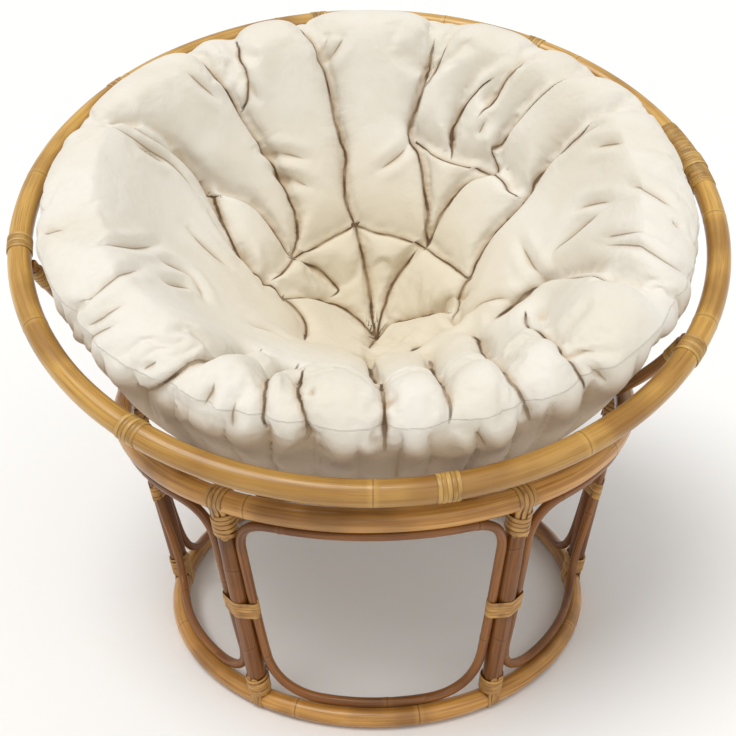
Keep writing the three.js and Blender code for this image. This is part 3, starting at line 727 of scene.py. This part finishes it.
# Cushion.
# A round pad: two discs of unbleached cotton sewn together and stuffed with fibre, then drawn through with
# thread at rings of tufts, so that deep creases part it into puffed petals. It lies in the bowl on the ribs.
thousandth = 0.001
cushion_floor = thousandth * np.array(
    [(0, -300), (60, -286), (120, -250), (178, -212), (235, -184), (292, -150), (345, -108), (382, -48),
     (408, 16), (432, 50), (456, 58), (472, 46), (481, 30), (484, 12), (480, -10)]
)
cushion_crest = thousandth * np.array(
    [(0, -292), (52, -268), (108, -224), (168, -182), (222, -142), (277, -96), (326, -46), (362, 6),
     (392, 50), (424, 80), (458, 82), (484, 60), (496, 36), (498, 14), (491, -10)]
)
under_radius = 0.5085
under_from, under_to = math.radians(74), 0.02
lip_tilt, lip_from, lip_over = 0.022, 0.33, 0.13
petal_half = 0.052
seam_share = 0.915
face_length = 0.72
crease_step = 0.005
cloth_cell = 0.0072
swell_spots, swell_limits = (0.0, 0.15, 0.24, 0.44, 0.5), (0.010, 0.014, 0.021, 0.017, 0.010)
crease_reach, crease_depth, crease_width = 0.09, 0.0085, 0.005
broad_depth, broad_width = 0.010, 0.012
fold_reach, fold_depth, fold_width = 0.06, 0.0095, 0.007
tuft_depth, tuft_width = 0.009, 0.012
pucker_depth = 0.013
blunt = 0.002
fade_length = 0.035
tufts_within = 0.36
hollow_rounds = 24
columns, face_rows, under_rows = 480, 130, 50

# Each crease and fold by its corners: the thousandths of the way from the seat's middle to the edge, then
# the azimuth in degrees
main_creases = (
    (18, -26, 44, 82, 112, 88, 177, 93, 233, 96, 289, 98),
    (18, -26, 127, 66, 186, 62, 230, 57, 268, 54),
    (18, -26, 74, 15, 139, 2, 206, -6, 271, -16),
    (18, -26, 103, 268),
    (18, -26, 74, 130, 147, 148, 201, 168, 263, 182),
    (147, 148, 142, 128, 183, 132, 236, 139, 277, 146),
    (263, 182, 224, 193, 221, 208, 283, 227),
    (280, -66, 242, -50, 268, -36),
    (286, 148, 274, 133, 280, 118, 298, 99),
    (298, 99, 277, 87, 277, 71, 277, 50, 274, 40, 286, 24, 307, 8),
    (307, 8, 280, -2, 268, -14, 277, -26),
    (558, 154, 490, 160, 419, 168, 366, 174, 310, 176, 263, 182),
    (286, 148, 289, 166, 310, 176),
    (298, 99, 357, 102, 437, 101, 490, 99, 546, 100, 628, 101, 676, 101, 770, 102, 826, 104, 894, 107),
    (277, 50, 342, 56, 407, 63, 493, 69, 558, 76, 617, 76, 699, 75, 788, 74, 855, 74),
    (699, 75, 779, 72, 847, 70),
    (558, 76, 516, 67, 510, 58, 519, 50, 540, 40),
    (540, 40, 590, 46, 649, 45, 737, 43, 808, 40, 861, 36),
    (510, 58, 596, 62, 667, 62, 737, 60, 799, 54),
    (673, 54, 740, 53, 805, 52, 861, 50),
    (540, 40, 481, 49, 413, 51, 348, 52, 277, 50),
    (540, 40, 540, 34, 525, 30, 537, 24),
    (307, 8, 354, 18, 410, 22, 484, 23, 537, 24, 617, 27, 681, 26, 761, 24, 829, 22),
    (422, -33, 463, -24, 496, -18, 528, -17, 584, -18, 687, -24, 861, -36),
    (566, -34, 873, -57, 914, -57, 973, -55),
    (372, -40, 442, -44, 867, -68, 912, -67, 956, -66, 1000, -65),
    (600, 250, 750, 251, 850, 252, 909, 254, 938, 254, 968, 255),
    (790, 257, 876, 258, 906, 260, 941, 261, 997, 260),
    (233, 268, 351, 271, 891, 272, 914, 272, 950, 272, 1000, 272),
    (351, -62, 867, -78, 906, -78, 941, -79),
    (600, 238, 720, 241, 829, 242, 891, 240, 938, 237, 997, 232),
    (882, 164, 870, 162, 817, 161, 770, 158, 714, 155, 661, 154, 608, 154, 558, 154),
    (558, 154, 513, 150, 454, 145, 386, 144, 286, 148),
    (870, 132, 805, 131, 758, 130, 696, 130, 596, 128, 496, 127, 428, 128, 363, 129, 316, 136, 286, 148),
    (894, 121, 826, 124, 764, 126, 696, 130),
)
folds = (
    (860, 167, 829, 167, 785, 166, 740, 165, 684, 163, 643, 161, 596, 161, 546, 162, 505, 163),
    (740, 167, 699, 165, 643, 163),
    (799, 140, 729, 138, 676, 135),
    (729, 126, 676, 125, 625, 124),
    (534, 132, 499, 124, 454, 114),
    (472, 130, 422, 124, 381, 117),
    (35, -61, 59, 32),
    (504, 74, 463, 76, 401, 88),
    (552, 52, 605, 51),
    (395, 165, 345, 174, 319, 186),
    (310, 186, 301, 178, 295, 172),
    (168, -12, 209, -4, 257, -4, 301, -6),
    (218, -12, 274, -28, 310, -35),
    (448, 7, 466, -6, 516, -20),
    (292, -28, 324, -22, 392, -21, 496, -26),
    (634, 24, 676, 22, 720, 22, 767, 18),
    (708, 15, 746, 12, 779, 8),
    (519, -14, 537, -8, 581, -7, 643, -6, 711, -8),
    (599, 2, 649, 0, 723, -7),
    (746, -4, 794, -9, 832, -12, 858, -12),
    (835, -16, 864, -18),
    (676, -16, 767, -22, 823, -24),
    (655, -16, 758, -25, 820, -28, 876, -28, 953, -25),
    (876, -56, 917, -54, 965, -52),
    (823, -58, 861, -54, 891, -52),
    (829, 260, 861, 261),
    (817, 272, 855, 273, 879, 272),
    (906, 272, 935, 270, 968, 272),
    (935, -76, 968, -74, 1000, -73),
    (882, 250, 917, 250, 965, 250),
    (861, 246, 900, 246, 935, 245),
    (652, 201, 563, 198, 522, 202, 540, 214),
    (711, 210, 814, 218, 870, 218, 929, 214),
    (909, 196, 864, 198, 835, 199),
    (676, 212, 569, 206, 546, 210),
    (917, 220, 876, 223, 814, 224),
    (956, 220, 894, 224, 850, 227),
    (914, 234, 873, 236),
    (546, 178, 472, 182, 401, 187),
    (504, 164, 413, 170, 369, 174),
    (841, 207, 761, 206, 611, 192),
    (448, 221, 392, 225, 363, 232),
    (693, 104, 740, 102, 779, 100),
    (687, 103, 726, 99, 767, 96),
)
broad_creases = (31,)


def ramp(value, start, width):
    """0 up to a start, 1 from a width further on, and a straight line between."""
    return np.clip((value - start) / width, 0, 1)


def lip_lift(radius, azimuth):
    """How much higher the lip lies outwards from the wall: less the sine of the azimuth, so most in front."""
    return -lip_tilt * np.sin(azimuth) * ramp(radius, lip_from, lip_over)


def on_face(profile, share, azimuth):
    """Points of a face, in the bowl's own frame: the profile turned about the bowl's axis, with the lift."""
    way = np.linspace(0, 1, len(profile))
    radius = np.interp(share, way, profile[:, 0])
    height = np.interp(share, way, profile[:, 1]) + lip_lift(radius, azimuth) - rim_drop
    return level_ways(azimuth) * radius[..., None] + up * height[..., None]


def crease_line(profile, corners):
    """A crease on a face: its corners rounded in plan, with the shares as radii, then laid on the face. Also
    the direction square to the face at each of its points."""
    share, angle = np.reshape(corners, (-1, 2)).T
    flat = rounded(level_ways(np.radians(angle))[:, :2] * (share * thousandth)[:, None], 3)
    flat = evenly(flat, max(int(lengths_along(flat)[-1] * face_length / crease_step), 4))
    share, angle = np.hypot(flat[:, 0], flat[:, 1]), np.arctan2(flat[:, 1], flat[:, 0])
    outwards = on_face(profile, share + 0.01, angle) - on_face(profile, share - 0.01, angle)
    return on_face(profile, share, angle), unit(np.cross(outwards, level_ways(angle + np.pi / 2)))


def nearest_on(points, line, reach):
    """For points within reach of a line: their numbers, the distance, and which line point is nearest."""
    inside = ((points > line.min(axis=0) - reach) & (points < line.max(axis=0) + reach)).all(axis=1)
    near = np.nonzero(inside)[0]
    square = ((points[near][:, None] - line[None]) ** 2).sum(axis=-1)
    which = square.argmin(axis=1)
    return near, np.sqrt(square[np.arange(len(near)), which]), which


def beside_line(points, line, ways, reach):
    """For points near a line on a face: their numbers, how far they lie beside it, above the face, along the
    line and to its left. Half a step along the line doesn't count as beside it."""
    near, far, which = nearest_on(points, line, reach)
    runs, along = unit(np.gradient(line, axis=0)), lengths_along(line)
    off = points[near] - line[which]
    above = (off * ways[which]).sum(axis=1)
    ahead = (off * runs[which]).sum(axis=1)
    within = np.clip(ahead, -along[1] * 0.6, along[1] * 0.6)
    beside = np.sqrt(np.maximum(far**2 - above**2 - ahead**2, 0) + (ahead - within) ** 2)
    leftwards = unit(np.cross(ways, runs))[which]
    return near, beside, above, along[which] + within, (off * leftwards).sum(axis=1)


def least_distance(points, lines, reach):
    """The distance from each point to the nearest of some lines, or the reach where that is less."""
    least = np.full(len(points), reach)
    for line, _ in lines:
        near, far, _ = nearest_on(points, line, reach)
        least[near] = np.minimum(least[near], far)
    return least


# The upper side rises from the floor profile to the crest profile as a quarter circle away from each crease
profiles = (cushion_floor, cushion_crest)
floor_profile, crest_profile = (evenly(rounded(profile, 4), face_rows) for profile in profiles)
crease_lines = [crease_line(floor_profile, corners) for corners in main_creases]
fold_lines = [crease_line(crest_profile, corners) for corners in folds]
azimuths = np.linspace(0, 2 * np.pi, columns, endpoint=False)
face_shares, under_shares = (np.linspace(0, 1, count)[:, None] for count in (face_rows, under_rows))
floor_grid = on_face(floor_profile, face_shares, azimuths)
crest_grid = on_face(crest_profile, face_shares, azimuths)
apart = least_distance(floor_grid.reshape(-1, 3), crease_lines, petal_half).reshape(face_rows, columns, 1)
risen = np.sqrt(1 - (1 - apart / petal_half) ** 2)
face_grid = floor_grid + (crest_grid - floor_grid) * risen
under_angle = np.linspace(under_from, under_to, under_rows)
under_profile = np.stack([np.sin(under_angle), -np.cos(under_angle)], axis=-1) * under_radius + (0, rim_drop)
cushion_grid = np.concatenate([face_grid, on_face(under_profile, under_shares, azimuths)])
here = np.arange(1, len(cushion_grid) - 1)[:, None] * columns + np.arange(columns)
caps = (here[0], here[-1][::-1] + columns)
quads = faces_between(here, here + columns)[:, ::-1]
cushion = put_mesh("cotton_cushion", in_bowl(cushion_grid.reshape(-1, 3)), quads, caps)


def applied(made):
    """Keeps the shape that an object's modifiers give it as its own mesh, and takes them off."""
    shape = made.evaluated_get(bpy.context.evaluated_depsgraph_get())
    mesh = bpy.data.meshes.new_from_object(shape)
    made.modifiers.clear()
    made.data = mesh


def swell(made, held, pressure, spare, most, frames):
    """Lets the stuffing push the cloth out for a few frames, with the held points fixed and some spare cloth.
    No point moves further than the most given for it."""
    start = mesh_rows(made.data, "co")
    group = made.vertex_groups.new(name="held")
    steps = np.round(held * 10).astype(int)
    for step in range(1, 11):
        group.add(np.nonzero(steps == step)[0].tolist(), step / 10, "REPLACE")
    cloth = made.modifiers.new("cloth", "CLOTH")
    stuff = cloth.settings
    stuff.quality = 5
    stuff.mass = 0.25
    stuff.tension_stiffness = 12
    stuff.compression_stiffness = 12
    stuff.shear_stiffness = 5
    stuff.bending_stiffness = 0.4
    stuff.use_pressure = True
    stuff.uniform_pressure_force = pressure
    stuff.shrink_min = -spare
    stuff.vertex_group_mass = "held"
    stuff.effector_weights.gravity = 0
    cloth.collision_settings.use_collision = False
    cloth.point_cache.frame_start = 1
    cloth.point_cache.frame_end = frames
    for number in range(1, frames + 1):
        bpy.context.scene.frame_set(number)
    applied(made)
    bpy.context.scene.frame_set(1)
    moved = mesh_rows(made.data, "co") - start
    reach = np.linalg.norm(moved, axis=1)
    move_points(made.data, start + moved * np.minimum(1, most / np.maximum(reach, 1e-9))[:, None])


def shares_of(points):
    """How far out along the face each point lies, from 0 to 1, and further on along the underside."""
    radius = np.hypot(points[:, 0], points[:, 1])
    lift = lip_lift(radius, np.arctan2(points[:, 1], points[:, 0]))
    flat = np.stack([radius, points[:, 2] + rim_drop - lift], axis=-1)
    profile = np.concatenate([crest_profile, under_profile])
    along = lengths_along(profile)
    profile = evenly(profile, 1000)
    parts = np.array_split(flat, 200)
    which = [((part[:, None] - profile[None]) ** 2).sum(axis=-1).argmin(axis=1) for part in parts]
    return np.concatenate(which) / 999 * along[-1] / along[face_rows - 1]


remesh = cushion.modifiers.new("remesh", "REMESH")
remesh.mode = "VOXEL"
remesh.voxel_size = cloth_cell
remesh.use_smooth_shade = True
applied(cushion)
own = (mesh_rows(cushion.data, "co") - bowl_place) @ bowl_turn
held = 1 - ramp(least_distance(own, crease_lines, 0.03), 0.007, 0.008)
lying = (own[:, 2] < -rim_drop - 0.01) & (np.linalg.norm(own, axis=1) > under_radius - 0.004)
most = np.interp(np.hypot(own[:, 0], own[:, 1]), swell_spots, swell_limits)
swell(cushion, np.maximum(held, lying), pressure=6.0, spare=0.05, most=most, frames=20)
finer = cushion.modifiers.new("finer", "SUBSURF")
finer.levels = 1
finer.render_levels = 1
applied(cushion)

# The creases, folds and gathers are pressed into the swollen cloth. A groove is its depth, times one over e
# to the distance from its line in widths. The tufts, and the ridge beside a fold, are bell curves.
made_points, made_ways = mesh_rows(cushion.data, "co"), mesh_rows(cushion.data, "normal")
own = (made_points - bowl_place) @ bowl_turn
shares = shares_of(own)
crease_gap, next_gap, tuft_gap = (np.full(len(own), crease_reach) for _ in range(3))
crease_run, crease_side, broad_dip = (np.zeros(len(own)) for _ in range(3))
crease_ends = np.array([line[end] for line, _ in crease_lines for end in (0, -1)])
for number, (line, ways) in enumerate(crease_lines):
    near, beside, above, ahead, left = beside_line(own, line, ways, crease_reach)
    behind = lengths_along(line)[-1] - ahead
    free = [(np.linalg.norm(crease_ends - line[end], axis=1) < 0.008).sum() < 2 for end in (0, -1)]
    fading = free[0] * (1 - ramp(ahead, 0, fade_length)) + free[1] * (1 - ramp(behind, 0, fade_length))
    away = ramp(above, 0.075, 0.025) + ramp(-above, 0.035, 0.015)
    beside = beside + 0.009 * fading + crease_reach * away
    closer = beside < crease_gap[near]
    next_gap[near] = np.minimum(next_gap[near], np.maximum(crease_gap[near], beside))
    crease_gap[near[closer]] = beside[closer]
    crease_run[near[closer]] = number * 1.7 + ahead[closer]
    crease_side[near[closer]] = left[closer]
    if number in broad_creases:
        broad_dip[near] = np.maximum(broad_dip[near], broad_depth * np.exp(-beside / broad_width))
    for end in (line[0], line[-1]):
        if np.hypot(end[0], end[1]) < tufts_within:
            tuft_gap = np.minimum(tuft_gap, np.linalg.norm(own - end, axis=1))
fold_gap, fold_dip, fold_side = np.full(len(own), 0.05), np.zeros(len(own)), np.zeros(len(own))
for line, ways in fold_lines:
    near, beside, above, ahead, left = beside_line(own, line, ways, fold_reach)
    end = np.sin(np.pi * np.clip(ahead / lengths_along(line)[-1], 0.01, 0.99)) ** 0.6
    end = end * (1 - ramp(np.abs(above), 0.025, 0.020))
    groove = fold_depth * np.exp(-np.hypot(beside, blunt) / fold_width)
    fold_dip[near] = fold_dip[near] + end * (groove - 0.0032 * bell(beside - 0.019, 0.010))
    beside = beside + 0.02 * (1 - end)
    closer = beside < fold_gap[near]
    fold_gap[near[closer]] = beside[closer]
    fold_side[near[closer]] = left[closer]
crease_dip = crease_depth * np.exp(-np.hypot(crease_gap, blunt) / crease_width)
crease_dip = crease_dip + tuft_depth * bell(tuft_gap, tuft_width)
round_way = np.arctan2(own[:, 1], own[:, 0])
below_seam = ramp(shares, seam_share, 0.03) * (1 - ramp(shares, 1.08, 0.08))
waver = round_way + 0.03 * np.sin(5 * round_way + 1.0) + 0.012 * np.sin(17 * round_way)
pucker = np.abs(np.sin(27 * waver) * np.sin(9.5 * waver + 0.7)) ** 0.4
dip = crease_dip + broad_dip + fold_dip + pucker_depth * below_seam * (1 - pucker)
move_points(cushion.data, made_points - made_ways * dip[:, None])
between = ramp(next_gap - crease_gap, 0.008, 0.020)


def hollows(mesh):
    """How deep each point lies below the average of its neighbourhood, along its own outward direction. The
    neighbourhood is as wide as some rounds of averaging over a point's direct neighbours."""
    ends = np.empty(len(mesh.edges) * 2, dtype=np.int32)
    mesh.edges.foreach_get("vertices", ends)
    here, there = np.concatenate([ends[::2], ends[1::2]]), np.concatenate([ends[1::2], ends[::2]])
    points = mesh_rows(mesh, "co")
    count = np.bincount(here)[:, None]
    average = points
    for _ in range(hollow_rounds):
        sums = [np.bincount(here, average[there, axis]) for axis in range(3)]
        average = np.stack(sums, axis=-1) / count
    return ((average - points) * mesh_rows(mesh, "normal")).sum(axis=1)


for name, values in (
    ("crease_gap", crease_gap),
    ("crease_run", crease_run),
    ("crease_side", crease_side),
    ("fold_side", fold_side),
    ("tuft_gap", tuft_gap),
    ("gather", between * (1 - ramp(crease_gap, 0, 0.05))),
    ("fold_gap", fold_gap),
    ("share", shares),
    ("hollow", hollows(cushion.data)),
):
    put_values(cushion, name, values)


def unbleached_cotton():
    """Matt cream cotton with painted shade: yellower in the seat and in its hollows, browner beside the
    creases and folds, brown in the bottom of each crease and fold, dark at each tuft, and browner on the
    strip below the seam. Its height is the sum of gathers that leave the creases, soft crumples, the threads,
    the seam and the lines at the bottom of the creases and folds."""
    material, tree, shader = new_material("unbleached cotton", {"Roughness": 0.95, "Sheen Weight": 0.15})
    place = add(tree, "TexCoord", {}).outputs["Object"]
    gap, fold, hollow, share = (read(tree, name) for name in ("crease_gap", "fold_gap", "hollow", "share"))
    crease, pinch = (from_zero(tree, read(tree, name)) for name in ("crease_side", "fold_side"))
    seam = from_zero(tree, worked(tree, "SUBTRACT", share, seam_share))
    seam_line = eased(tree, seam, 0.0006, 0.0020, 1.0, 0.0)
    in_crease = eased(tree, crease, 0.0006, 0.0022, 1.0, 0.0)
    crease_core = worked(tree, "MULTIPLY", in_crease, eased(tree, gap, 0.005, 0.009, 1.0, 0.0))
    in_fold = eased(tree, pinch, 0.0002, 0.0018, 1.0, 0.0)
    near_fold = eased(tree, fold, 0.002, 0.009, 1.0, 0.0)
    fold_core = worked(tree, "MULTIPLY", in_fold, near_fold, eased(tree, gap, 0.010, 0.028))
    # A random strength, from 0.4 to 1, for the painted shade line at the bottom of the creases.
    patchy_crease_shade = eased(tree, noise(tree, place, 22.0), 0.3, 0.6, 0.4, 1.0)
    tone = tints(
        tree,
        0xE6E1D6,
        (eased(tree, noise(tree, place, 7.0, 3.0), 0.35, 0.65), 0xE0D9CA),
        # Painted shade: yellower towards the seat's middle, where the walls shade it.
        (eased(tree, share, 0.2, 0.55, 0.6, 0.0), 0xD4C7AA),
        # Painted shade: yellow-brown in the hollows of the cloth, by how deep each point lies.
        (eased(tree, hollow, 0.0004, 0.0075, 0.0, 0.5), 0xB89D72),
        # Painted shade: browner beside each crease.
        (eased(tree, gap, 0.0005, 0.007, 0.5, 0.0), 0xA38458),
        # Painted shade: a dark line at the bottom of each crease, patchy along it.
        (worked(tree, "MULTIPLY", crease_core, patchy_crease_shade, 0.95), 0x5A4025),
        # Painted shade: dark in the pit at each tuft.
        (eased(tree, read(tree, "tuft_gap"), 0.002, 0.008, 0.8, 0.0), 0x3F2D1A),
        # Painted shade: browner beside each fold.
        (eased(tree, fold, 0.0004, 0.0100, 0.3, 0.0), 0xB0946A),
        # Painted shade: a brown line at the bottom of each fold.
        (worked(tree, "MULTIPLY", fold_core, 0.55), 0x80643E),
        (worked(tree, "MULTIPLY", seam_line, 0.14), 0x8F7B5C),
        # Painted shade: browner on the strip below the seam, which faces down.
        (eased(tree, share, 0.93, 0.99, 0.0, 0.75), 0xAE9472),
    )
    tree.links.new(tone, shader.inputs["Base Color"])
    run = worked(tree, "MULTIPLY", read(tree, "crease_run"), 42.0)
    off = worked(tree, "MULTIPLY", gap, 14.0)
    gathers = noise(tree, add(tree, "CombineXYZ", {0: run, 1: off}).outputs[0], 1.0)
    crumple = noise(tree, place, 19.0, 3.0, Distortion=0.3)
    heights = (
        (gathers, read(tree, "gather"), 0.004),
        (crumple, eased(tree, share, 0.6, 0.85, 0.0024, 0.0068)),
        (noise(tree, place, 900.0), 0.0002),
        (seam_line, -0.0008),
        (crease_core, -0.0015),
        (fold_core, -0.0010),
    )
    height = worked(tree, "ADD", *(worked(tree, "MULTIPLY", *factors) for factors in heights))
    raised(tree, shader, height, 1.0, 1.0)
    return material


cotton = unbleached_cotton()
cushion.data.materials.append(cotton)
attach(cushion, "cushion")
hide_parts("cushion")


# Floor and light.
# A plain pale floor, a white surround and two wide soft lamps, as in a studio.
floor_half = 30.0
floor_points = np.array([[-1, -1, 0], [1, -1, 0], [1, 1, 0], [-1, 1, 0]]) * floor_half
floor = put_mesh("floor", floor_points, np.array([[0, 1, 2, 3]]))
floor_paint = new_material("pale floor", {"Base Color": paint(0xF4F3F1), "Roughness": 0.9})[0]
floor.data.materials.append(floor_paint)


def wide_sun(name, aim, power, spread, tint):
    """A distant lamp that shines along a direction, with soft-edged shadows from its spread."""
    light = bpy.data.lights.new(name, "SUN")
    light.energy = power
    light.angle = math.radians(spread)
    light.color = tint
    lamp = bpy.data.objects.new(name, light)
    lamp.rotation_euler = Vector(aim).to_track_quat("-Z", "Y").to_euler()
    bpy.context.collection.objects.link(lamp)


wide_sun("lamp above left", (0.26, 0.22, -1.0), 1.62, 34, (1.0, 0.99, 0.97))
wide_sun("lamp right", (-0.35, 0.75, -0.6), 0.5, 60, (1.0, 1.0, 1.0))
surround = bpy.data.worlds.new("white surround")
surround.use_nodes = True
white_light = surround.node_tree.nodes["Background"]
white_light.inputs["Color"].default_value = (1.0, 1.0, 1.0, 1.0)
white_light.inputs["Strength"].default_value = 0.58
bpy.context.scene.world = surround
bpy.context.scene.view_settings.view_transform = "Standard"
